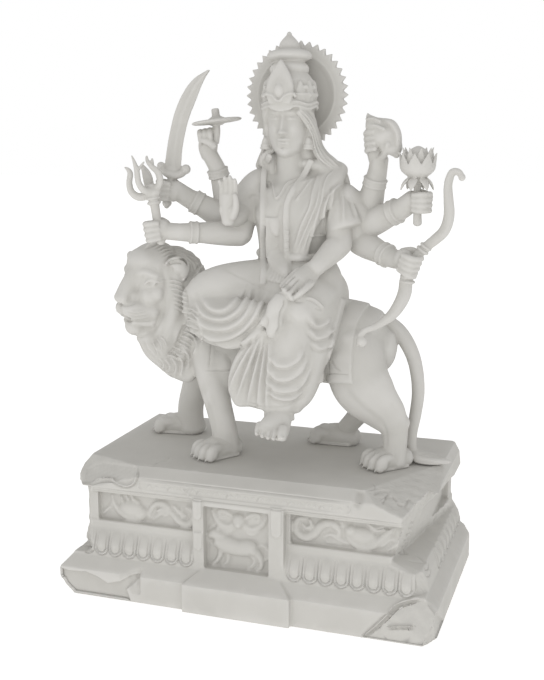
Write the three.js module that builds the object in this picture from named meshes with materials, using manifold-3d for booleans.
// A carved stone durga on her lion, standing on a stepped plinth with frieze panels and a lotus band.
// Millimetres, +Z up. The goddess and the plinth's carved front face -Y, and the lion walks towards -X.
// The origin lies on the plinth's underside, below the goddess's seat.
import * as THREE from "three";
import { mergeVertices } from "three/addons/utils/BufferGeometryUtils.js";
import Module from "manifold-3d";

const wasm = await Module();
wasm.setup();
const { Manifold, Mesh } = wasm;

// Plinth
const PLINTH_TOP = 143; // height of the slab that the lion walks on
const FRIEZE_HALF_X = 181; // half length at the frieze, between the mouldings
const FRIEZE_HALF_Y = 103; // half depth at the frieze
const PLINTH_Y = -5; // the plinth's centre lies this far towards the viewer
const BASE_OUT = 22; // the base block stands out this far from the frieze
const FRIEZE_LOW = 80;
const FRIEZE_HIGH = 112;
const PANEL_DEPTH = 7;
const BAY = { left: -52, right: 47, out: 10, panelLeft: -40, panelRight: 31, panelLow: 42 };
const BLOCK = { half: 58.5, out: 27 };
const PETAL = { pitch: 17.2, width: 14.6, top: 71, low: 43, swell: 3 };

// Lion
const LION_FACE = [-0.59, -0.81, 0]; // the head turns to look past the plinth's front left corner
const LION_EYES = [-142, -47, 334]; // midway between the eyes

// Goddess
const HEAD = { x: 17, y: -10, chin: 463, crownLow: 515, halfWidth: 21, halfDepth: 25 };
const HALO = { x: 15, y: 24, z: 527, radius: 56.5, root: 50, teeth: 38, dish: 41, thickness: 7 };

// Small helpers on points kept as [x, y, z]
const add = (a, b, k = 1) => a.map((v, i) => v + k * b[i]);
const scale = (a, k) => a.map((v) => v * k);
const dot = (a, b) => a[0] * b[0] + a[1] * b[1] + a[2] * b[2];
const cross = (a, b) => [a[1] * b[2] - a[2] * b[1], a[2] * b[0] - a[0] * b[2], a[0] * b[1] - a[1] * b[0]];
const unit = (a) => scale(a, 1 / Math.hypot(...a));
const along = (a, b, t) => add(scale(a, 1 - t), b, t);
const range = (n) => Array.from({ length: n }, (_, i) => i);

// Solids and their joining

// Turns a closed geometry into a solid that faces out.
function solid(geometry) {
  geometry.deleteAttribute("normal");
  geometry.deleteAttribute("uv");
  const merged = mergeVertices(geometry, 1e-4);
  const vertProperties = new Float32Array(merged.attributes.position.array);
  const corners = [];
  const index = merged.index.array;
  for (let i = 0; i < index.length; i += 3) {
    const [a, b, c] = [index[i], index[i + 1], index[i + 2]];
    if (a !== b && b !== c && c !== a) corners.push(a, b, c);
  }
  const made = new Manifold(new Mesh({ numProp: 3, vertProperties, triVerts: new Uint32Array(corners) }));
  if (made.volume() > 0) return made;
  for (let i = 0; i < corners.length; i += 3) [corners[i], corners[i + 1]] = [corners[i + 1], corners[i]];
  return new Manifold(new Mesh({ numProp: 3, vertProperties, triVerts: new Uint32Array(corners) }));
}

const join = (solids) => Manifold.union(solids.flat(Infinity));

// Fills the sealed hollows that are left where joined forms close round a space.
const fillHollows = (made) => join(made.decompose().filter((piece) => piece.volume() > 0));

// Lightens a closed skin to a number of facets: the edge whose loss changes the form least goes first, by the sum of
// squared distances to the planes round it, and an edge whose loss would turn a facet over or pinch the skin stays.
function lighten(made, facets) {
  const { vertProperties, triVerts } = made.getMesh();
  const place = range(vertProperties.length / 3).map((i) => Array.from(vertProperties.subarray(3 * i, 3 * i + 3)));
  const faces = range(triVerts.length / 3).map((i) => Array.from(triVerts.subarray(3 * i, 3 * i + 3)));
  const around = place.map(() => new Set());
  faces.forEach((face, f) => face.forEach((v) => around[v].add(f)));
  const normalOf = ([a, b, c]) => cross(add(b, a, -1), add(c, a, -1));
  const spread = place.map(() => new Float64Array(10));
  for (const face of faces) {
    const [a, b, c] = face.map((v) => place[v]);
    const normal = normalOf([a, b, c]);
    const size = Math.hypot(...normal);
    if (size < 1e-9) continue;
    const [x, y, z] = scale(normal, 1 / size);
    const d = -(x * a[0] + y * a[1] + z * a[2]);
    const terms = [x * x, x * y, x * z, x * d, y * y, y * z, y * d, z * z, z * d, d * d];
    for (const v of face) terms.forEach((term, k) => (spread[v][k] += term * size));
  }
  const errorAt = (q, [x, y, z]) =>
    q[0] * x * x + 2 * q[1] * x * y + 2 * q[2] * x * z + 2 * q[3] * x + q[4] * y * y + 2 * q[5] * y * z +
    2 * q[6] * y + q[7] * z * z + 2 * q[8] * z + q[9];
  const stamp = new Uint32Array(place.length);
  const heap = [];
  const before = (a, b) => heap[a].cost < heap[b].cost;
  const swap = (a, b) => ([heap[a], heap[b]] = [heap[b], heap[a]]);
  function push(entry) {
    heap.push(entry);
    for (let i = heap.length - 1; i > 0 && before(i, (i - 1) >> 1); i = (i - 1) >> 1) swap(i, (i - 1) >> 1);
  }
  function pop() {
    const top = heap[0];
    const last = heap.pop();
    if (!heap.length) return top;
    heap[0] = last;
    for (let i = 0; ; ) {
      const [left, right] = [2 * i + 1, 2 * i + 2];
      let least = i;
      if (left < heap.length && before(left, least)) least = left;
      if (right < heap.length && before(right, least)) least = right;
      if (least === i) return top;
      swap(i, least);
      i = least;
    }
  }
  function offer(a, b) {
    const q = spread[a].map((value, k) => value + spread[b][k]);
    const options = [place[a], place[b], along(place[a], place[b], 0.5)];
    const best = bestPoint(q);
    if (best && Math.hypot(...add(best, options[2], -1)) < 2 * Math.hypot(...add(place[a], place[b], -1))) options.push(best);
    const costs = options.map((point) => errorAt(q, point));
    const pick = costs.indexOf(Math.min(...costs));
    const length = Math.hypot(...add(place[a], place[b], -1));
    push({ a, b, at: options[pick], q, cost: Math.max(costs[pick], 0) + 1e-4 * length ** 3, age: stamp[a] + stamp[b] });
  }
  const neighbours = (v) => new Set([...around[v]].flatMap((f) => faces[f]).filter((w) => w !== v));
  faces.forEach((face) => face.forEach((v, k) => v < face[(k + 1) % 3] && offer(v, face[(k + 1) % 3])));
  let left = faces.length;
  while (left > facets && heap.length) {
    const { a, b, at, q, age } = pop();
    if (!around[a].size || !around[b].size || stamp[a] + stamp[b] !== age) continue;
    const near = neighbours(a);
    if (!near.has(b)) continue;
    const shared = [...neighbours(b)].filter((v) => near.has(v));
    if (shared.length !== 2) continue;
    const kept = [...around[a], ...around[b]].filter((f) => !(around[a].has(f) && around[b].has(f)));
    const turned = kept.some((f) => {
      const old = unit(normalOf(faces[f].map((v) => place[v])));
      const now = normalOf(faces[f].map((v) => (v === a || v === b ? at : place[v])));
      const size = Math.hypot(...now);
      return size < 1e-3 || dot(old, scale(now, 1 / size)) < 0.3;
    });
    if (turned) continue;
    for (const f of [...around[b]]) {
      around[b].delete(f);
      if (around[a].has(f)) {
        faces[f].forEach((v) => around[v].delete(f));
        faces[f] = null;
        left -= 1;
      } else {
        faces[f] = faces[f].map((v) => (v === b ? a : v));
        around[a].add(f);
      }
    }
    place[a] = at;
    spread[a] = q;
    stamp[a] += 1;
    stamp[b] += 1;
    for (const v of neighbours(a)) offer(Math.min(a, v), Math.max(a, v));
  }
  const geometry = new THREE.BufferGeometry();
  geometry.setAttribute("position", new THREE.Float32BufferAttribute(place.flat(), 3));
  geometry.setIndex(faces.filter(Boolean).flat());
  return solid(geometry.toNonIndexed());
}

// The point where a sum of squared plane distances is least, or nothing where the planes leave it open.
function bestPoint(q) {
  const matrix = new THREE.Matrix3(q[0], q[1], q[2], q[1], q[4], q[5], q[2], q[5], q[7]);
  const size = q[0] + q[4] + q[7];
  if (Math.abs(matrix.determinant()) < 1e-4 * size ** 3) return null;
  return new THREE.Vector3(-q[3], -q[6], -q[8]).applyMatrix3(matrix.invert()).toArray();
}

// Stands a geometry on three axes of its own: columns x, y and z, moved to a place.
function stand(geometry, place, x, y, z) {
  const turn = new THREE.Matrix4().makeBasis(
    new THREE.Vector3(...x),
    new THREE.Vector3(...y),
    new THREE.Vector3(...z),
  );
  return geometry.applyMatrix4(turn).translate(...place);
}

// Two unit axes square to a direction, the first of them level where it can be.
function sideAxes(direction, level = [0, 0, 1]) {
  const z = unit(direction);
  const guide = Math.abs(dot(z, level)) > 0.95 ? [0, 1, 0] : level;
  const x = unit(cross(guide, z));
  return [x, cross(z, x), z];
}

function ball(centre, radii, { facing = [0, -1, 0], round = 10, tall = 7 } = {}) {
  const [x, y, z] = sideAxes(facing);
  const geometry = new THREE.SphereGeometry(1, round, tall);
  geometry.scale(radii[0], radii[2], radii[1]);
  return solid(stand(geometry, centre, x, y, scale(z, -1)));
}

function block(low, high) {
  const size = high.map((v, i) => v - low[i]);
  return solid(new THREE.BoxGeometry(...size).translate(...along(low, high, 0.5)));
}

// A smooth limb through stops [x, y, z, half width, half height]: a ring at each step, rounded at both ends.
// flare(angle, share) multiplies the ring's radius, for folds.
function limb(stops, { sides = 8, steps = 2, level = [0, 0, 1], blunt = 0.7, flare = () => 1 } = {}) {
  const path = new THREE.CatmullRomCurve3(stops.map((s) => new THREE.Vector3(s[0], s[1], s[2])));
  const girth = new THREE.CatmullRomCurve3(stops.map((s) => new THREE.Vector3(s[3], s[4] ?? s[3], 0)));
  const count = (stops.length - 1) * steps;
  const rings = range(count + 1).map((i) => {
    const share = i / count;
    const at = path.getPoint(share).toArray();
    const [side, rise, ahead] = sideAxes(path.getTangent(share).toArray(), level);
    const { x: wide, y: high } = girth.getPoint(share);
    return { at, side, rise, ahead, wide: Math.max(wide, 0.3), high: Math.max(high, 0.3), share };
  });
  const cap = (ring, sign) => {
    const reach = blunt * Math.min(ring.wide, ring.high);
    const lift = (turn) => add(ring.at, ring.ahead, sign * reach * Math.sin(turn));
    const inner = { ...ring, at: lift(0.8), wide: ring.wide * Math.cos(0.8), high: ring.high * Math.cos(0.8) };
    return { inner, pole: lift(Math.PI / 2) };
  };
  const first = cap(rings[0], -1);
  const last = cap(rings[count], 1);
  const all = [first.inner, ...rings, last.inner];
  const points = all.flatMap((ring) =>
    range(sides).map((k) => {
      const angle = (2 * Math.PI * (k + 0.5)) / sides;
      const grow = flare(angle, ring.share);
      const out = add(scale(ring.side, ring.wide * grow * Math.cos(angle)), ring.rise, ring.high * grow * Math.sin(angle));
      return add(ring.at, out);
    }),
  );
  return skin(points, sides, all.length, first.pole, last.pole);
}

// Closes rings of points, each of the same count, with a pole at either end.
function skin(points, sides, rows, firstPole, lastPole) {
  const index = [];
  for (let r = 0; r < rows - 1; r++)
    for (let k = 0; k < sides; k++) {
      const a = r * sides + k;
      const b = r * sides + ((k + 1) % sides);
      index.push(a, b, a + sides, b, b + sides, a + sides);
    }
  const low = rows * sides;
  for (let k = 0; k < sides; k++) {
    const next = (k + 1) % sides;
    index.push(low, next, k);
    index.push(low + 1, (rows - 1) * sides + k, (rows - 1) * sides + next);
  }
  const geometry = new THREE.BufferGeometry();
  const flat = [...points, firstPole, lastPole].flat();
  geometry.setAttribute("position", new THREE.Float32BufferAttribute(flat, 3));
  geometry.setIndex(index);
  return solid(geometry);
}

// Level slices [z, x, y, half width, half depth] on one another.
function stack(slices, options = {}) {
  return limb(
    slices.map(([z, x, y, wide, deep]) => [x, y, z, wide, deep]),
    { level: [0, 1, 0], blunt: 0.3, steps: 1, ...options },
  );
}

// A ridge of carving that follows points on a surface.
const ridge = (points, width, height = width, options = {}) =>
  limb(points.map((p) => [p[0], p[1], p[2], width / 2, height / 2]), { sides: 5, steps: 1, blunt: 0.5, ...options });

// A flat outline [u, v] of even thickness, standing on axes u and v.
function plate(outline, thickness, place, u, v, bevel = 0) {
  const shape = new THREE.Shape(outline.map(([a, b]) => new THREE.Vector2(a, b)));
  const geometry = new THREE.ExtrudeGeometry(shape, {
    depth: thickness - 2 * bevel,
    bevelEnabled: bevel > 0,
    bevelThickness: bevel,
    bevelSize: bevel,
    bevelOffset: -bevel,
    bevelSegments: 1,
    curveSegments: 6,
  });
  geometry.translate(0, 0, bevel - thickness / 2);
  return solid(stand(geometry, place, u, v, cross(u, v)));
}

// A turned form: profile [radius, height] about an axis that starts at a place.
function turned(profile, place, axis = [0, 0, 1], sides = 12) {
  const geometry = new THREE.LatheGeometry(profile.map(([r, h]) => new THREE.Vector2(r, h)), sides);
  const [x, y, z] = sideAxes(axis);
  return solid(stand(geometry, place, x, z, scale(y, -1)));
}

// A bangle or collar round an axis.
const ring = (place, axis, radius, thick, tall, sides = 10) =>
  turned(
    [
      [0, -tall / 2],
      [radius, -tall / 2],
      [radius + thick, -tall / 4],
      [radius + thick, tall / 4],
      [radius, tall / 2],
      [0, tall / 2],
    ],
    place,
    axis,
    sides,
  );

// Plinth

// Height, how far the wall stands out from the frieze there, and the same at the two ends where it differs.
const PLINTH_PROFILE = [
  [0, BASE_OUT],
  [29, BASE_OUT],
  [42, 10.5],
  [56, 8.5],
  [68, 3],
  [71, 1.5],
  [78, 1.5],
  [79, 0],
  [111, 0],
  [112, 4],
  [115, 5],
  [116, 9, 11],
  [134, 9, 10],
  [137, 4, 8],
  [PLINTH_TOP, -5, 4],
];

function walls(profile, halfX, halfY, centre) {
  const points = profile.flatMap(([z, out, endOut = out]) => [
    [centre[0] - halfX - endOut, centre[1] - halfY - out, z],
    [centre[0] + halfX + endOut, centre[1] - halfY - out, z],
    [centre[0] + halfX + endOut, centre[1] + halfY + out, z],
    [centre[0] - halfX - endOut, centre[1] + halfY + out, z],
  ]);
  const low = profile[0][0];
  const high = profile[profile.length - 1][0];
  return skin(points, 4, profile.length, [...centre, low], [...centre, high]);
}

// How far the lotus band stands out from the frieze at a height.
function bandOut(z) {
  const above = PLINTH_PROFILE.findIndex((row) => row[0] >= z);
  const [lowZ, lowOut] = PLINTH_PROFILE[above - 1];
  const [highZ, highOut] = PLINTH_PROFILE[above];
  return lowOut + ((z - lowZ) / (highZ - lowZ)) * (highOut - lowOut);
}

// Lotus petals that hang along one side. face(s, out) gives the point at s along the side.
function petalRow(from, to, face, round = 5) {
  const count = Math.round((to - from) / PETAL.pitch);
  const pitch = (to - from) / count;
  const middle = (PETAL.top + PETAL.low) / 2;
  return range(count).map((i) => {
    const s = from + pitch * (i + 0.5);
    const low = face(s, bandOut(PETAL.low), PETAL.low);
    const high = face(s, bandOut(PETAL.top - 2), PETAL.top - 2);
    const outward = add(face(s, 1, 0), face(s, 0, 0), -1);
    const up = unit(add(high, low, -1));
    const normal = unit(cross(cross(up, outward), up));
    const half = PETAL.width / 2;
    const reach = (PETAL.top - PETAL.low) / 2;
    const rim = range(round).map((k) => {
      const turn = Math.PI * (1 + k / (round - 1));
      return [half * Math.cos(turn), -reach + half * (1 + Math.sin(turn))];
    });
    const outline = [[half, reach], [-half, reach], ...rim];
    const centre = face(s, bandOut(middle), middle);
    return plate(outline, 2 * PETAL.swell, centre, cross(up, normal), up, 1.6);
  });
}

// A corner or edge broken away: what lies past a plane, inside a box.
function chip(point, normal, low, high) {
  const [x, y, z] = sideAxes(normal);
  const side = 400;
  const past = new THREE.BoxGeometry(side, side, side).translate(0, 0, side / 2);
  return solid(stand(past, point, x, y, z)).intersect(block(low, high));
}

function scroll(path, front, width, height = width) {
  return ridge(path.map(([x, z]) => [x, front, z]), width, height, { sides: 6, steps: 2, level: [0, 1, 0] });
}

function plinthReliefs() {
  const front = PLINTH_Y - FRIEZE_HALF_Y + PANEL_DEPTH - 0.5;
  const bayFront = PLINTH_Y - FRIEZE_HALF_Y - 0.5;
  const boss = (x, z, rx, rz, y = front) => ball([x, y, z], [rx, 5.5, rz], { round: 8, tall: 6 });
  const leftFrieze = [
    boss(-128, 93, 17, 11),
    scroll([[-152, 105], [-147, 92], [-138, 84], [-122, 82]], front, 6),
    scroll([[-108, 84], [-103, 98], [-92, 102], [-83, 95], [-88, 88]], front, 7),
    scroll([[-83, 95], [-74, 86], [-62, 84], [-58, 94], [-66, 101]], front, 8),
    scroll([[-162, 88], [-155, 92], [-151, 99]], front, 5),
  ];
  const rightFrieze = [
    scroll([[64, 106], [56, 102], [54, 92], [64, 85], [76, 92], [84, 102], [95, 104], [101, 96]], front, 10),
    boss(122, 95, 14, 10),
    scroll([[106, 103], [109, 91], [122, 83], [137, 88], [148, 100], [155, 104]], front, 8),
    scroll([[150, 84], [157, 92], [160, 102]], front, 6),
  ];
  const animal = [
    ball([-4, bayFront, 66], [19, 7, 10], { round: 10, tall: 6 }),
    ball([-24, bayFront, 72], [10, 7, 12], { round: 8, tall: 6 }),
    ball([-33, bayFront - 1, 78], [6.5, 5, 6], { round: 8, tall: 5 }),
    ...[-27, -17, 6, 15].map((x, i) =>
      ridge([[x, bayFront, 64], [x + (i % 2 ? 3 : -2), bayFront, 54], [x, bayFront, 45]], 8, 9),
    ),
    scroll([[13, 70], [22, 74], [26, 66], [22, 60]], bayFront, 5),
    block([-38, bayFront - 2, 41], [29, bayFront + 4, 45]),
  ];
  const foliage = [
    ball([-4, bayFront, 98], [7, 6, 9], { round: 8, tall: 6 }),
    ...[-1, 1].map((side) =>
      scroll([[-4 + side * 8, 92], [-4 + side * 17, 97], [-4 + side * 25, 92], [-4 + side * 29, 101], [-4 + side * 21, 106]], bayFront, 7),
    ),
  ];
  return [leftFrieze, rightFrieze, animal, foliage];
}

function makePlinth() {
  const frontY = PLINTH_Y - FRIEZE_HALF_Y;
  const backY = PLINTH_Y + FRIEZE_HALF_Y;
  const body = walls(PLINTH_PROFILE, FRIEZE_HALF_X, FRIEZE_HALF_Y, [0, PLINTH_Y]);
  const bay = block([BAY.left, frontY - BAY.out, 20], [BAY.right, frontY + 20, 119]);
  const step = walls(
    [
      [0, 0],
      [30, 0],
      [44, BAY.out - BLOCK.out],
    ],
    BLOCK.half,
    40,
    [0, frontY - BLOCK.out + 40],
  );
  const panels = [
    block([-166, frontY - 20, FRIEZE_LOW], [BAY.left - 2, frontY + PANEL_DEPTH, FRIEZE_HIGH]),
    block([BAY.right + 3, frontY - 20, FRIEZE_LOW], [165, frontY + PANEL_DEPTH, FRIEZE_HIGH]),
    block([-160, backY - PANEL_DEPTH, FRIEZE_LOW], [-8, backY + 20, FRIEZE_HIGH]),
    block([8, backY - PANEL_DEPTH, FRIEZE_LOW], [160, backY + 20, FRIEZE_HIGH]),
    block([-FRIEZE_HALF_X - 20, PLINTH_Y - 84, FRIEZE_LOW], [-FRIEZE_HALF_X + PANEL_DEPTH, PLINTH_Y + 84, FRIEZE_HIGH]),
    block([FRIEZE_HALF_X - PANEL_DEPTH, PLINTH_Y - 40, FRIEZE_LOW], [FRIEZE_HALF_X + 20, PLINTH_Y + 84, FRIEZE_HIGH]),
  ];
  const bayPanel = block([BAY.panelLeft, frontY - 40, BAY.panelLow], [BAY.panelRight, frontY + 1, FRIEZE_HIGH]);
  const petals = [
    petalRow(-FRIEZE_HALF_X - 2, BAY.left, (s, out, z) => [s, frontY - out, z]),
    petalRow(BAY.right + 3, FRIEZE_HALF_X, (s, out, z) => [s, frontY - out, z]),
    petalRow(-FRIEZE_HALF_X, FRIEZE_HALF_X, (s, out, z) => [s, backY + out, z], 3),
    petalRow(PLINTH_Y - FRIEZE_HALF_Y, backY, (s, out, z) => [-FRIEZE_HALF_X - out, s, z], 3),
    petalRow(PLINTH_Y - 40, backY, (s, out, z) => [FRIEZE_HALF_X + out, s, z], 4),
  ];
  const chips = [
    chip([-121, -104, 143], [-0.22, -0.62, 0.75], [-230, -150, 121], [-121, 0, 150]), // slab, front left
    chip([-183, -98, 60], [-0.8, -0.6, 0], [-230, -150, 44], [-120, -60, 118]), // frieze, front left
    chip([125, -104, 143], [0.37, -0.2, 0.91], [122, -150, 117], [230, 0, 150]), // slab, front right
    chip([181, -113, 120], [0.77, -0.64, 0.05], [150, -160, 100], [230, 0, 150]),
    chip([182, 94, 143], [0.75, 0.62, 0.2], [120, 0, 100], [230, 150, 150]), // slab, back right
    chip([172, -80, 118], [0.93, -0.14, -0.26], [150, -122, 66], [230, 90, 128]), // right end
    chip([180, -108, 80], [0.8, -0.59, 0.1], [150, -160, 44], [230, -60, 119]),
    chip([206, -118, 28], [0.87, -0.41, -0.2], [150, -160, -5], [240, -40, 60]), // base, front right
    chip([170, -122, 42], [0.25, -0.9, 0.36], [135, -160, 8], [240, -100, 46]),
    chip([-203, -128, 16], [-0.72, -0.2, -0.66], [-240, -160, -5], [-150, 60, 60]), // base, front left
    chip([-200, -124, 38], [-0.75, -0.45, 0.48], [-240, -160, 14], [-150, 0, 76]),
    chip([-118, -127, 26], [0.25, -0.9, 0.2], [-150, -160, 10], [-108, -110, 36]),
    chip([200, 108, 40], [0.7, 0.7, 0.1], [150, 60, -5], [240, 150, 80]), // base, back right
  ];
  const carved = join([body, bay, step, petals]).subtract(join(panels)).subtract(bayPanel);
  return join([carved, plinthReliefs()]).subtract(join(chips));
}

// Lion

const FACE_SIDE = [LION_FACE[1], -LION_FACE[0], 0]; // level, from the near eye to the far one
const onHead = (ahead, aside, up) => add(add(add(LION_EYES, LION_FACE, ahead), FACE_SIDE, aside), [0, 0, up]);

function lionHead() {
  const facing = LION_FACE;
  const parts = [
    ball(onHead(-20, 2, 2), [33, 33, 36], { facing, round: 14, tall: 10 }), // skull
    ball(onHead(-4, 0, 16), [22, 14, 16], { facing, round: 10, tall: 6 }), // forehead
    limb([[...onHead(-10, 0, -24), 22, 19], [...onHead(4, 2, -26), 20, 17], [...onHead(16, 2, -27), 16, 12]], { sides: 12 }), // muzzle
    limb([[...onHead(-12, 2, -46), 18, 13], [...onHead(2, 6, -48), 17, 12], [...onHead(11, 6, -49), 12, 9]], { sides: 10 }), // jaw
    limb([[...onHead(-6, 0, 8), 13, 8], [...onHead(6, 0, -6), 9, 8], [...onHead(18, 1, -18), 9, 6]], { sides: 8 }), // bridge
    ball(onHead(20, 1, -20), [10, 6, 7], { facing, round: 8, tall: 6 }), // nose
    limb([[...onHead(0, 2, -50), 9, 7], [...onHead(-6, 2, -60), 4, 4]], { sides: 7 }), // beard
  ];
  for (const side of [-1, 1]) {
    parts.push(limb([[...onHead(4, side * 8, 2), 5, 4], [...onHead(3, side * 17, 8), 8, 5], [...onHead(-8, side * 27, 4), 5, 4]], { sides: 7 })); // brow
    parts.push(ball(onHead(-1, side * 17, -2), [7, 6, 5], { facing, round: 8, tall: 6 })); // eye
    parts.push(ball(onHead(-6, side * 20, -20), [12, 14, 13], { facing, round: 8, tall: 6 })); // cheek
    parts.push(ball(onHead(13, side * 8, -29), [9, 9, 8], { facing, round: 8, tall: 6 })); // lip pad
    const root = onHead(-26, side * 26, 16);
    const tip = onHead(-26, side * 38, 30);
    parts.push(limb([[...root, 11, 7], [...along(root, tip, 0.6), 11, 6], [...tip, 6, 3]], { sides: 8, level: facing }));
  }
  return parts;
}

// Points along a path of [x, y, z], by share of its steps.
function pointOn(path, share) {
  const step = Math.min(share * (path.length - 1), path.length - 1.001);
  const low = Math.floor(step);
  return along(path[low], path[low + 1], step - low);
}

// The mane's mass, and locks that run from the edge of the face back to the mane's own edge.
const FACE_EDGE = [
  [-128, -24, 372],
  [-108, -40, 358],
  [-104, -52, 334],
  [-108, -58, 304],
  [-116, -56, 280],
  [-118, -50, 260],
  [-114, -42, 246],
];
const MANE_EDGE = [
  [-98, -10, 360],
  [-84, -30, 344],
  [-74, -42, 322],
  [-68, -48, 292],
  [-78, -50, 266],
  [-90, -48, 246],
  [-100, -38, 234],
];
const FAR_FACE_EDGE = [
  [-148, -14, 366],
  [-162, -10, 345],
  [-164, -14, 318],
  [-156, -24, 290],
  [-146, -34, 270],
];
const FAR_MANE_EDGE = [
  [-130, 14, 362],
  [-136, 30, 336],
  [-136, 26, 300],
  [-126, 6, 268],
  [-118, -10, 250],
];

function locks(from, to, count, out, droop) {
  return range(count).map((i) => {
    const share = i / (count - 1);
    const root = pointOn(from, share);
    const tip = add(pointOn(to, share), [0, 0, -droop]);
    const swell = add(add(along(root, tip, 0.55), out), [0, 0, i % 2 ? 3 : -2]);
    const stops = [[...root, 5, 5], [...swell, 6.5, 5.5], [...tip, 2.2, 2]];
    return limb(stops, { sides: 6, steps: 2, level: [0.3, 1, 0] });
  });
}

function mane() {
  return [
    ball([-112, -12, 316], [46, 44, 50], { facing: LION_FACE, round: 16, tall: 10 }),
    ball([-113, -20, 280], [42, 38, 40], { facing: LION_FACE, round: 14, tall: 9 }),
    ball([-110, -22, 258], [36, 33, 30], { facing: LION_FACE, round: 12, tall: 8 }),
    locks(FACE_EDGE, MANE_EDGE, 13, [4, -9, 0], 6),
    locks(FACE_EDGE.map((p) => add(p, [12, 4, -4])), MANE_EDGE.map((p) => add(p, [6, 10, -6])), 11, [4, -7, 0], 8),
    locks(FAR_FACE_EDGE, FAR_MANE_EDGE, 8, [-8, 0, 0], 8),
    range(5).map((i) => limb([[-143 + i * 9, -42, 280 - i * 7, 6, 6], [-137 + i * 8, -46, 264 - i * 6, 7.5, 7], [-126 + i * 8, -40, 249 - i * 5, 2.4, 2.4]], { sides: 6, level: [0, 1, 0] })),
  ];
}

// A paw that points the way its toes go, with four toes and a heel on the plinth.
function paw(heel, toe, width) {
  const ahead = unit(add(toe, heel, -1));
  const aside = [-ahead[1], ahead[0], 0];
  const length = Math.hypot(...add(toe, heel, -1));
  const base = PLINTH_TOP;
  const at = (share, side, up) => [...add(add(heel, ahead, share * length), aside, side).slice(0, 2), base + up];
  const parts = [limb([[...at(0.05, 0, 8), width * 0.42, 11], [...at(0.5, 0, 10), width * 0.46, 13], [...at(0.8, 0, 8), width * 0.44, 9]], { sides: 8 })];
  for (const k of range(4)) {
    const side = (k - 1.5) * width * 0.27;
    const reach = 0.88 - 0.05 * Math.abs(k - 1.5);
    parts.push(limb([[...at(0.55, side * 0.85, 12), 5, 5], [...at(reach, side, 9), width * 0.15, 8], [...at(reach + 0.08, side, 5), 3, 5]], { sides: 6, steps: 1, blunt: 0.4 }));
  }
  return parts;
}

const LION_BODY = [
  [-124, -6, 258, 14, 18],
  [-108, -4, 256, 32, 34],
  [-84, -2, 258, 42, 42],
  [-45, 0, 264, 43, 42],
  [5, 2, 267, 41, 40],
  [55, 3, 272, 42, 40],
  [88, 3, 270, 42, 41],
  [108, 4, 264, 36, 38],
  [119, 5, 262, 20, 24],
];

function lionBody() {
  const trunk = limb(LION_BODY, { sides: 14, steps: 2, level: [0, 0, 1] });
  const cloth = limb(LION_BODY.map(([x, y, z, wide, high]) => [x, y, z, wide + 2.5, high + 2.5]), { sides: 14, steps: 2 });
  const blanket = cloth.intersect(block([-66, -80, 231], [94, 80, 330]));
  return [trunk, blanket];
}

function lionLegs() {
  const near = [
    limb([[-68, -26, 262, 26, 22], [-60, -38, 232, 19, 18], [-53, -42, 205, 15, 15], [-47, -40, 178, 13.5, 15], [-46, -38, 156, 13, 16]], { sides: 10, level: [1, 0, 0] }),
    paw([-38, -27, PLINTH_TOP], [-66, -68, PLINTH_TOP], 36),
    limb([[94, -14, 268, 30, 28], [100, -30, 240, 19, 32], [114, -33, 219, 17, 31], [131, -28, 200, 14, 24], [138, -24, 184, 12, 16], [138, -24, 158, 12, 14]], { sides: 10, level: [1, 0, 0] }),
    paw([147, -8, PLINTH_TOP], [114, -42, PLINTH_TOP], 36),
  ];
  const far = [
    limb([[-80, 14, 262, 24, 26], [-94, 20, 228, 18, 20], [-105, 22, 202, 14, 16], [-113, 26, 178, 13, 16], [-114, 27, 156, 14, 18]], { sides: 8, level: [1, 0, 0] }),
    paw([-104, 32, PLINTH_TOP], [-158, 26, PLINTH_TOP], 34),
    limb([[96, 20, 262, 28, 32], [84, 32, 226, 18, 28], [98, 38, 202, 13, 17], [84, 41, 180, 12, 12], [68, 43, 160, 12, 11]], { sides: 8, level: [1, 0, 0] }),
    paw([80, 43, PLINTH_TOP], [28, 43, PLINTH_TOP], 32),
  ];
  return [near, far];
}

const TAIL = [
  [106, 14, 290, 10],
  [120, 16, 288, 9.5],
  [134, 15, 279, 9],
  [146, 13, 262, 8.5],
  [153, 11, 242, 8],
  [156, 9, 218, 7.5],
  [154, 7, 194, 7],
  [151, 5, 172, 6],
  [152, 3, 157, 6],
  [160, 2, 150, 8],
  [176, 2, 148, 9],
  [191, 3, 146, 4],
];

function makeLion() {
  return [lionBody(), lionHead(), mane(), lionLegs(), limb(TAIL.map(([x, y, z, r]) => [x, y, z, r, r]), { sides: 8, steps: 1 })];
}

// Goddess: seat and skirt

// A fold that sags between two ends like a hung cloth.
function swag(from, to, sag, width, bulge = [0, -1, 0], out = 0) {
  const points = range(7).map((i) => {
    const t = i / 6;
    const drop = 4 * t * (1 - t);
    return add(add(along(from, to, t), sag, drop), bulge, out * drop);
  });
  return ridge(points, width, width, { sides: 5, steps: 1 });
}

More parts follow.
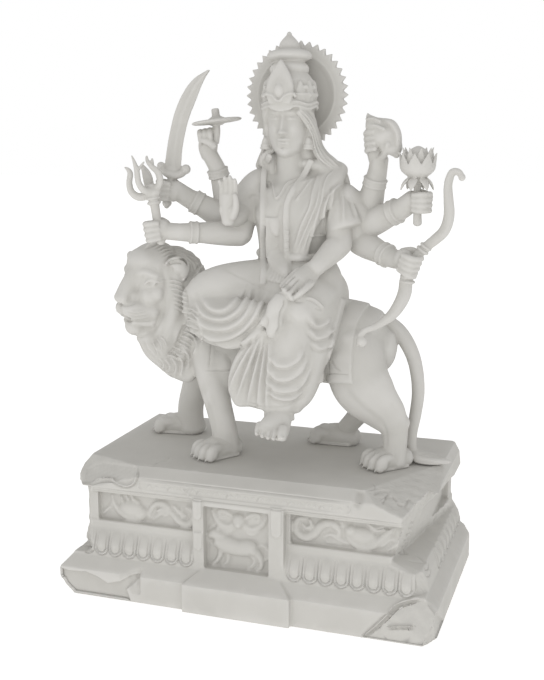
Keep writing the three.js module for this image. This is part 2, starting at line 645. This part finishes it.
function skirt() {
  const mass = [
    stack(
      [
        [352, 18, -6, 50, 28],
        [334, 22, -14, 60, 36],
        [312, 26, -30, 60, 38],
        [288, 29, -48, 54, 36],
        [264, 28, -58, 51, 32],
        [240, 24, -64, 49, 28],
        [222, 22, -70, 43, 22],
        [209, 20, -74, 34, 15],
      ],
      { sides: 20 },
    ),
    limb([[30, -6, 325, 32, 34], [-6, -28, 325, 31, 34], [-42, -46, 322, 27, 32], [-64, -54, 314, 20, 27], [-76, -56, 311, 11, 20]], { sides: 14 }), // right thigh
    limb([[44, -4, 320, 38, 34], [46, -34, 320, 34, 28], [44, -62, 313, 28, 23]], { sides: 12 }), // left thigh
    limb([[44, -64, 308, 24, 22], [38, -76, 272, 24, 18], [30, -82, 238, 22, 14], [24, -84, 214, 20, 11]], { sides: 12, level: [1, 0, 0] }), // shin
    limb([[-36, -66, 306, 20, 12], [-16, -76, 296, 24, 12], [10, -84, 306, 18, 10]], { sides: 10, level: [0, 0, 1] }),
  ];
  const thighFolds = range(6).map((i) =>
    swag([-74 + i * 6, -68 - i * 2, 322 - i * 8], [12 + i * 1.5, -88, 330 - i * 3], [4, -10 - i, -16 - i * 5], 6),
  );
  const pleats = range(6).map((i) => {
    const foot = [-27 + i * 6.6, -86 - i * 1.5, 226 - i * 3.6];
    const head = [12 + i * 1.6, -92, 296];
    return ridge([head, add(along(head, foot, 0.5), [-2, -3, 0]), foot], 6.5, 8);
  });
  const shinFolds = range(7).map((i) => {
    const z = 292 - i * 12.5;
    const half = 21 + Math.min(i, 4) * 1.4;
    const x = 42 - i * 2.4;
    return swag([x - half, -84 - i * 0.8, z], [x + half, -78 - i, z + 6], [0, -8, -15], 5.5);
  });
  const hem = [0, 1].map((k) => swag([-8 + k, -76, 218 - k * 7], [54, -72, 222 - k * 7], [0, -15, -6], 5));
  const trail = range(4).map((i) => swag([58 + i * 3, -64 + i * 8, 292 - i * 14], [78, -44 + i * 6, 300 - i * 14], [2, -8, -12], 6));
  const restingFoot = [
    limb([[46, -92, 328, 9, 8], [34, -100, 318, 12, 9], [20, -104, 306, 9, 7]], { sides: 8, level: [0, 1, 0] }),
    limb([[34, -98, 312, 8, 7], [32, -99, 298, 9, 7], [31, -98, 290, 6, 5]], { sides: 8, level: [0, 1, 0] }),
  ];
  return [mass, thighFolds, pleats, shinFolds, hem, trail, restingFoot];
}

function bareFoot() {
  const parts = [
    limb([[34, -78, 222, 13, 9], [34, -82, 208, 12, 10], [32, -90, 200, 14, 8], [29, -102, 194, 15, 5]], { sides: 8, level: [1, 0, 0] }),
    ring([34, -79, 213], [0, 0.2, 1], 12, 2.5, 5),
  ];
  for (const k of range(5))
    parts.push(limb([[17 + k * 5.8, -96, 196, 3.6, 5], [15 + k * 6.2, -108 + Math.abs(k - 1) * 1.5, 191, 3.4, 3.4]], { sides: 6, steps: 1 }));
  return parts;
}

// Goddess: body and dress

function torso() {
  const trunk = stack(
    [
      [300, 14, -4, 58, 36],
      [326, 15, -6, 50, 32],
      [346, 17, -8, 38, 26],
      [364, 20, -8, 38, 24],
      [386, 22, -9, 43, 26],
      [408, 22, -9, 45, 28],
      [426, 24, -7, 50, 25],
      [438, 22, -5, 36, 19],
      [448, 19, -7, 17, 14],
    ],
    { sides: 16, steps: 2 },
  );
  const bosom = [ball([2, -26, 406], [18, 15, 17], { round: 10, tall: 7 }), ball([38, -25, 405], [18, 15, 17], { round: 10, tall: 7 })];
  const neck = limb([[18, -6, 444, 13, 13], [17, -9, 470, 12, 12]], { sides: 10, level: [1, 0, 0] });
  const scarf = [
    limb([[-4, -14, 456, 9, 3], [-6, -32, 430, 10, 3.5], [-5, -42, 404, 10, 3.5], [-2, -36, 376, 9, 3.5], [0, -40, 350, 9, 3.5], [4, -56, 330, 9, 3.5]], { sides: 6, level: [0, 1, 0.2] }),
    limb([[48, -12, 460, 9, 3], [38, -34, 434, 10, 3.5], [26, -43, 408, 10, 3.5], [24, -38, 376, 9, 3.5], [28, -44, 348, 9, 3.5]], { sides: 6, level: [0, 1, 0.2] }),
  ];
  const shawl = range(4).map((i) =>
    ridge([[78 - i * 9, -14 - i * 4, 440 + i * 3], [60 - i * 6, -34 - i * 1.5, 418 + i * 3], [46 - i * 3, -40, 390 + i * 3], [34 - i * 2, -38, 364]], 7, 6),
  );
  const neckline = ridge([[4, -27, 428], [16, -29, 416], [32, -28, 436], [40, -22, 446]], 5, 5);
  const belt = swag([-12, -26, 364], [52, -28, 368], [0, -18, -6], 7);
  const tassel = limb([[18, -40, 366, 8, 4], [20, -50, 348, 9, 4], [22, -64, 330, 7, 4]], { sides: 6, level: [0, 1, 0] });
  return [trunk, bosom, neck, scarf, shawl, neckline, belt, tassel];
}

function head() {
  const front = (z, ahead = 0) => [HEAD.x, HEAD.y - ahead, z];
  const face = [
    limb([[...front(HEAD.chin + 3, 6), 8, 10], [...front(474, 3), 15, 16], [...front(484, 1), 18.5, 20], [...front(496), 20.5, 22], [...front(510), 20.5, 22.5], [...front(524, -1), 19.5, 22], [...front(540, -2), 12, 14]], { sides: 14, level: [1, 0, 0], steps: 1 }),
    limb([[...front(505, 20), 2.2, 3], [...front(495, 23), 2.8, 4], [...front(488, 24), 4, 4]], { sides: 6, level: [1, 0, 0], steps: 1 }),
    ball(front(478.5, 17), [6.5, 5, 2.8], { round: 8, tall: 5 }),
    ball(front(HEAD.chin + 5, 12), [7, 6, 5], { round: 8, tall: 5 }),
  ];
  const hair = [];
  for (const side of [-1, 1]) {
    hair.push(ball([HEAD.x + side * 9, HEAD.y - 18.5, 500], [5, 3.4, 2.6], { round: 8, tall: 5 }));
    const wide = side > 0 ? 1.34 : 0.8;
    hair.push(limb([[HEAD.x + side * 15, HEAD.y - 8, 520, 7, 8], [HEAD.x + side * 21, HEAD.y + 2, 500, 7, 11], [HEAD.x + side * 26 * wide, HEAD.y + 5, 476, 9, 12], [HEAD.x + side * 33 * wide, HEAD.y + 5, 455, 12, 12], [HEAD.x + side * 40 * wide, HEAD.y + 5, 438, 12, 9]], { sides: 8, level: [1, 0, 0], steps: 1 }));
    hair.push(turned([[0, -8], [6, -6], [5, -2], [2, 4], [2, 18], [0, 20]], [HEAD.x + side * 22, HEAD.y - 5, 474], [0, 0, 1], 8));
  }
  hair.push(stack([[420, 22, 16, 40, 10], [448, 20, 14, 28, 14], [476, 18, 9, 22, 18], [510, 17, 4, 21, 20]], { sides: 12 }));
  return [face, hair];
}

function crown() {
  const base = [HEAD.x, HEAD.y + 2, 0];
  const up = (z) => [base[0] + (z - 512) * -0.02, base[1] + (z - 512) * 0.02, z];
  const tiers = turned(
    [
      [0, 0],
      [24, 0],
      [25.5, 3],
      [24, 6],
      [25, 9],
      [22, 13],
      [20, 28],
      [15, 35],
      [13, 38],
      [14.5, 41],
      [13, 45],
      [17, 50],
      [18, 54],
      [15, 57],
      [10, 58],
      [11, 61],
      [8.5, 68],
      [3, 75],
      [0, 78],
    ],
    up(512),
    [-0.03, 0.06, 1],
    14,
  );
  const leaf = (width, height) => [
    [-width * 0.36, 0],
    [-width * 0.5, height * 0.35],
    [-width * 0.36, height * 0.66],
    [0, height],
    [width * 0.36, height * 0.66],
    [width * 0.5, height * 0.35],
    [width * 0.36, 0],
  ];
  const front = plate(leaf(32, 48), 5, [HEAD.x - 1, HEAD.y - 22, 516], [1, 0, 0], unit([0, 0.12, 1]), 1);
  const jewel = ball([HEAD.x - 1, HEAD.y - 25, 532], [5.5, 4, 8], { round: 8, tall: 6 });
  const sides = [-75, -40, 40, 75, 120, 180, 240].map((degrees) => {
    const turn = (degrees * Math.PI) / 180;
    const out = [Math.sin(turn), -Math.cos(turn), 0];
    const place = add([HEAD.x, HEAD.y + 2, 517], out, 22);
    return plate(leaf(15, 26), 4, place, [Math.cos(turn), Math.sin(turn), 0], unit(add([0, 0, 1], out, 0.14)), 1);
  });
  return [tiers, front, jewel, sides];
}

function halo() {
  const outline = range(HALO.teeth * 2).map((i) => {
    const turn = (Math.PI * i) / HALO.teeth;
    const r = i % 2 ? HALO.radius : HALO.root;
    return [r * Math.sin(turn), r * Math.cos(turn)];
  });
  const disc = plate(outline, HALO.thickness, [HALO.x, HALO.y, HALO.z], [1, 0, 0], [0, 0, 1]);
  const dish = turned(
    [
      [0, -1],
      [HALO.dish - 8, -1],
      [HALO.dish, 4],
      [0, 4],
    ],
    [HALO.x, HALO.y - HALO.thickness / 2, HALO.z],
    [0, -1, 0],
    24,
  );
  return disc.subtract(dish);
}

// Goddess: arms and what they hold

const SHOULDER_RIGHT = [-27, -4, 425];
const SHOULDER_LEFT = [76, -4, 422];

// An arm from shoulder to wrist, with a sleeve edge and two bangles.
function arm(shoulder, elbow, wrist, hand, { sleeve = 0, upper = 13, lower = 11.5 } = {}) {
  const cuff = along(elbow, wrist, 0.78);
  const band = along(shoulder, elbow, sleeve);
  const level = [0, 1, 0];
  const parts = [
    limb([[...shoulder, upper + 2, upper + 2], [...along(shoulder, elbow, 0.5), upper, upper], [...elbow, lower + 1, lower + 1]], { sides: 9, level }),
    limb([[...elbow, lower + 1, lower + 1], [...along(elbow, wrist, 0.35), lower, lower], [...along(elbow, wrist, 0.75), lower - 1.5, lower - 1.5], [...wrist, lower - 2.5, lower - 2.5]], { sides: 9, steps: 1, level }),
    limb([[...wrist, lower - 2.5, lower - 2.5], [...hand, lower - 2.5, lower - 2.5]], { sides: 8, steps: 1, level }),
    ring(cuff, add(wrist, elbow, -1), lower - 1.2, 1.6, 7),
    ring(along(elbow, wrist, 0.92), add(wrist, elbow, -1), lower - 2, 1.4, 4),
  ];
  if (sleeve > 0) parts.push(ring(band, add(elbow, shoulder, -1), upper, 2.6, 9, 10));
  return parts;
}

// A fist round a rod: rod and reach are unit directions, and the fingers curl on the side of curl.
function fist(middle, rod, reach, size = 1) {
  const r = unit(rod);
  const curl = unit(cross(r, reach));
  const ahead = unit(cross(curl, r));
  const at = (a, f, c) => add(add(add(middle, r, a * size), ahead, f * size), curl, c * size);
  const parts = [ball(at(0, -2, 0), [9 * size, 11 * size, 11 * size], { facing: ahead, round: 8, tall: 6 })];
  for (const k of range(4)) {
    const a = (k - 1.5) * 5.2;
    parts.push(limb([[...at(a, 4, -9), 3 * size, 3 * size], [...at(a, 12, -4), 3.2 * size, 3 * size], [...at(a, 11, 6), 3 * size, 3 * size], [...at(a, 2, 10), 2.6 * size, 2.6 * size]], { sides: 5, steps: 1, level: r }));
  }
  parts.push(limb([[...at(9, -8, 4), 3.6 * size, 3.6 * size], [...at(9, 2, 9), 3.6 * size, 3.6 * size], [...at(5, 9, 9), 3 * size, 3 * size]], { sides: 5, steps: 1, level: r }));
  return parts;
}

// An open hand: fingers go along up, and the palm looks along front.
function openHand(wrist, up, front, size = 1, spread = 0.06) {
  const aside = unit(cross(up, front));
  const at = (u, s, f = 0) => add(add(add(wrist, up, u * size), aside, s * size), front, f * size);
  const parts = [limb([[...at(0, 0), 8 * size, 6 * size], [...at(10, 0), 11 * size, 6 * size], [...at(22, 0), 11.5 * size, 5.5 * size]], { sides: 8, level: front, blunt: 0.5 })];
  for (const k of range(4)) {
    const s = (k - 1.5) * 5.4;
    const reach = [16, 20, 19, 14][k];
    parts.push(limb([[...at(22, s), 3 * size, 3.2 * size], [...at(22 + reach * 0.6, s * (1 + spread * 3), 1), 2.8 * size, 3 * size], [...at(22 + reach, s * (1 + spread * 5), 2), 2.2 * size, 2.2 * size]], { sides: 6, steps: 1, level: front }));
  }
  parts.push(limb([[...at(6, -8, 2), 4 * size, 4 * size], [...at(16, -14, 4), 3.4 * size, 3.4 * size], [...at(25, -14, 4), 2.6 * size, 2.6 * size]], { sides: 6, steps: 1, level: front }));
  return parts;
}

function trident() {
  const hand = [-104, -60, 387];
  const foot = [-96, -62, 366];
  const collar = [-112, -62, 416];
  const cup = [-114, -63, 424];
  const axis = unit(add(cup, foot, -1));
  const prong = (path) => limb(path.map(([x, y, z, r]) => [x, y, z, r, r]), { sides: 6, steps: 2, level: [0, 1, 0] });
  return [
    arm(SHOULDER_RIGHT, [-34, -20, 383], [-88, -54, 386], hand, { lower: 12.5 }),
    fist(hand, axis, [-0.95, -0.3, 0]),
    limb([[...foot, 5.5, 5.5], [...hand, 5.5, 5.5], [...cup, 6, 6]], { sides: 7, steps: 1 }),
    ring(collar, axis, 6, 3, 6, 8),
    ring([-114, -63, 424], axis, 6, 4, 6, 8),
    prong([[-114, -64, 426, 5], [-117, -65, 438, 6.4], [-118, -65, 450, 5], [-118, -65, 464, 1]]),
    prong([[-114, -64, 427, 5], [-126, -66, 426, 5], [-134, -67, 432, 4.8], [-136, -67, 443, 4.2], [-139, -68, 456, 1]]),
    prong([[-115, -68, 428, 5], [-122, -72, 432, 5], [-127, -74, 441, 7.6], [-129, -74, 452, 6.4], [-134, -74, 466, 1]]),
    prong([[-113, -64, 426, 5], [-106, -64, 433, 4.6], [-104, -64, 442, 4.4], [-108, -64, 452, 3.4], [-114, -64, 464, 1]]),
    prong([[-114, -60, 428, 5], [-120, -54, 436, 5], [-123, -52, 447, 4.4], [-123, -52, 458, 1]]),
  ];
}

// A curved blade, wide below its point, with a ridge behind the edge.
function sword() {
  const y = -22;
  const hand = [-116, y, 427];
  const spine = [
    [-109, 447, 10.5],
    [-106, 470, 9],
    [-102, 489, 8.8],
    [-97, 507, 8.8],
    [-89, 525, 8.8],
    [-80, 539, 6.6],
    [-67, 552, 0.8],
  ];
  const blade = limb(spine.map(([x, z, half]) => [x, y, z, 2.6, half]), { sides: 6, steps: 2, level: [1, 0, 0.3], blunt: 0.2 });
  return [
    arm(SHOULDER_RIGHT, [-56, -2, 397], [-94, -16, 419], add(hand, [5, 2, 2]), { lower: 13.5 }),
    fist(hand, [0.22, 0, 1], [-0.9, -0.35, 0.2], 1.05),
    blade,
    limb([[-118, y, 409, 4, 4], [-110, y, 446, 4, 4]], { sides: 7, steps: 1 }),
    ball([-117, y, 411], [5, 5, 4], { round: 8, tall: 5 }),
    limb([[-122, y, 449, 5, 5], [-109, y, 443, 7, 6], [-95, y, 446, 5, 5]], { sides: 8, level: [0, 1, 0] }),
    ball([-121.5, y, 451], [6, 6, 6], { round: 8, tall: 5 }),
    ball([-95.5, y, 448], [6.5, 6, 6.5], { round: 8, tall: 5 }),
  ];
}

function discus() {
  const hub = [-64, -8, 500];
  const hand = [-72, -8, 475];
  return [
    arm(SHOULDER_RIGHT, [-58, 8, 408], [-66, -4, 450], add(hand, [2, 0, -4]), { lower: 12 }),
    fist(hand, [0.1, 0.9, 0.2], [-0.1, -0.2, 1], 1.15),
    limb([[-65, -12, 478, 6, 6], [-64, -10, 490, 5, 5], [-64, -9, 500, 4, 4]], { sides: 6, steps: 1, level: [0, 1, 0] }),
    turned(
      [
        [0, -3.5],
        [7, -3.5],
        [8, -2.2],
        [26, -1.4],
        [26, 1.4],
        [8, 1.8],
        [7, 3.5],
        [4.4, 3.5],
        [4, 12],
        [0, 13],
      ],
      hub,
      unit([-0.13, 0, 1]),
      20,
    ),
  ];
}

function blessing() {
  return [
    limb([[-26, -8, 414, 13, 13], [-32, -18, 398, 12, 12], [-36, -28, 390, 11, 11]], { sides: 8, level: [0, 1, 0] }),
    limb([[-36, -28, 390, 11, 11], [-36, -40, 396, 10, 9], [-36, -50, 404, 8, 8]], { sides: 8, level: [0, 1, 0], steps: 1 }),
    openHand([-36, -50, 401], unit([-0.1, -0.1, 1]), unit([0, -1, -0.12]), 1.12),
  ];
}

function lapHand() {
  return [
    arm(SHOULDER_LEFT, [82, -18, 372], [58, -50, 348], [50, -58, 343], { upper: 15, lower: 13 }),
    limb([[54, -54, 346, 8, 6], [46, -64, 340, 11, 6], [38, -72, 334, 11, 5.5]], { sides: 8, level: [0, 0.3, 1] }),
    range(4).map((k) => limb([[42 - k * 3, -74 + k * 5, 336, 3.4, 3.6], [32 - k * 3.4, -86 + k * 5, 329, 3.2, 3.4], [26 - k * 3, -92 + k * 6, 321, 2.6, 2.8]], { sides: 6, steps: 1 })),
    limb([[52, -62, 344, 4, 4], [44, -78, 337, 3.6, 3.6], [38, -86, 330, 3, 3]], { sides: 6, steps: 1 }),
  ];
}

const BOW = [
  [199, -25, 447, 3.4],
  [196, -25, 450, 3.6],
  [191, -25, 451, 4],
  [188, -25, 447, 4.2],
  [186, -25, 437, 4.6],
  [187, -25, 423, 5.2],
  [188, -25, 412, 5.6],
  [187, -25, 402, 5.8],
  [183, -25, 392, 5.8],
  [175, -26, 384, 5.6],
  [167, -28, 377, 5.2],
  [159, -31, 368, 5.2],
  [149, -33, 346, 7.6],
  [148, -36, 332, 7.6],
  [144, -40, 320, 7],
  [136, -44, 308, 5.8],
  [123, -49, 298, 3.8],
  [112, -53, 293, 3.4],
  [107, -55, 287, 3.4],
];

function bow() {
  const hand = [148, -31, 362];
  return [
    arm(SHOULDER_LEFT, [92, 2, 376], [132, -22, 363], hand, { lower: 13 }),
    fist(hand, [0.35, -0.2, 1], [0.9, -0.35, -0.1]),
    limb(BOW.map(([x, y, z, r]) => [x, y, z, r, r * 0.9]), { sides: 8, steps: 1, level: [0, 1, 0] }),
    ball([109, -55, 282], [6, 6, 6], { round: 8, tall: 6 }),
    ring([164, -29, 371], [0.6, 0, 0.8], 6, 2, 6, 8),
    ring([151, -33, 345], [0.1, 0, 1], 6.5, 2.4, 7, 9),
  ];
}

function lotus() {
  const heart = [154, -17, 444];
  const petals = range(8).map((i) => {
    const turn = (2 * Math.PI * i) / 8;
    const out = [Math.cos(turn), Math.sin(turn), 0];
    const at = (r, z) => add(add(heart, out, r), [0, 0, z]);
    return limb([[...at(5, 0), 4, 3], [...at(15, 9), 8, 3], [...at(16, 19), 6, 2.4], [...at(17, 26), 1.4, 1.2]], { sides: 6, steps: 1, level: out });
  });
  return [
    arm(SHOULDER_LEFT, [100, 4, 395], [138, -10, 413], [150, -14, 422], { lower: 14 }),
    fist([155, -16, 422], [0, 0, 1], [0.95, -0.25, 0.1], 0.96),
    petals,
    turned([[0, 0], [7, 2], [13, 10], [12, 24], [6, 31], [0, 32]], heart, [0, 0, 1], 10),
    turned([[0, -14], [5, -12], [16, -5], [16, -2], [5, 1], [0, 1]], heart, [0, 0, 1], 10),
    limb([[154, -17, 446, 4, 4], [154, -17, 420, 4, 4], [155, -16, 400, 5, 5]], { sides: 7, steps: 1 }),
  ];
}

function conch() {
  return [
    arm(SHOULDER_LEFT, [98, 10, 408], [109, 2, 450], [111, 0, 462], { lower: 13 }),
    limb([[111, 0, 452, 7, 6], [110, -2, 466, 11, 7], [104, -4, 482, 10, 6]], { sides: 8, level: [0, 1, 0] }),
    range(4).map((k) => limb([[100 + k * 4, -8 + k, 474, 3.2, 3.2], [100 + k * 5, -12, 486, 3, 3], [104 + k * 5.4, -13, 496 - k, 2.6, 2.6]], { sides: 5, steps: 1, level: [0, 1, 0] })),
    limb([[99, -3, 506, 2, 2], [104, -3, 501, 7, 6], [112, -4, 492, 13, 11], [119, -5, 481, 13, 12], [124, -6, 470, 8, 7], [128, -7, 465, 3, 3]], { sides: 10, level: [0, 1, 0] }),
    limb([[120, -8, 497, 5, 4], [127, -12, 490, 5, 5], [129, -12, 478, 4, 5], [127, -9, 467, 3, 3]], { sides: 7, level: [0, 1, 0] }),
  ];
}

function sleeves() {
  return [
    limb([[2, -2, 440, 14, 14], [-16, -4, 436, 20, 20], [-32, -10, 415, 20, 20], [-31, -14, 400, 17, 17]], { sides: 12, level: [0, 1, 0] }),
    limb([[40, -2, 436, 16, 16], [66, -3, 428, 22, 20], [80, -8, 406, 23, 22], [84, -14, 384, 20, 20]], { sides: 12, level: [0, 1, 0] }),
  ];
}

function makeGoddess() {
  const arms = [trident(), sword(), discus(), blessing(), lapHand(), bow(), lotus(), conch(), sleeves()];
  return [skirt(), bareFoot(), torso(), head(), crown(), halo(), arms];
}

// Assembly: the group is carved as one with a sliver of clearance from the plinth it stands on.
const SEAT_GAP = 0.3;
const FACETS = { plinth: 2100, statue: 7900 };

function meshOf(made, name, colour) {
  const { vertProperties, triVerts } = made.getMesh();
  const geometry = new THREE.BufferGeometry();
  geometry.setAttribute("position", new THREE.BufferAttribute(vertProperties, 3));
  geometry.setIndex(new THREE.BufferAttribute(triVerts, 1));
  geometry.computeVertexNormals();
  const stone = new THREE.MeshStandardMaterial({ color: colour, roughness: 0.8, metalness: 0 });
  const mesh = new THREE.Mesh(geometry, stone);
  mesh.name = name;
  return mesh;
}

const under = block([-400, -400, -50], [400, 400, PLINTH_TOP + SEAT_GAP]);
const statue = fillHollows(join([makeLion(), makeGoddess()]).subtract(under));
const group = new THREE.Group();
group.add(meshOf(lighten(fillHollows(makePlinth()), FACETS.plinth), "plinth", 0xb9b8b3));
group.add(meshOf(lighten(statue, FACETS.statue), "statue", 0xbcbbb6));

export default group;
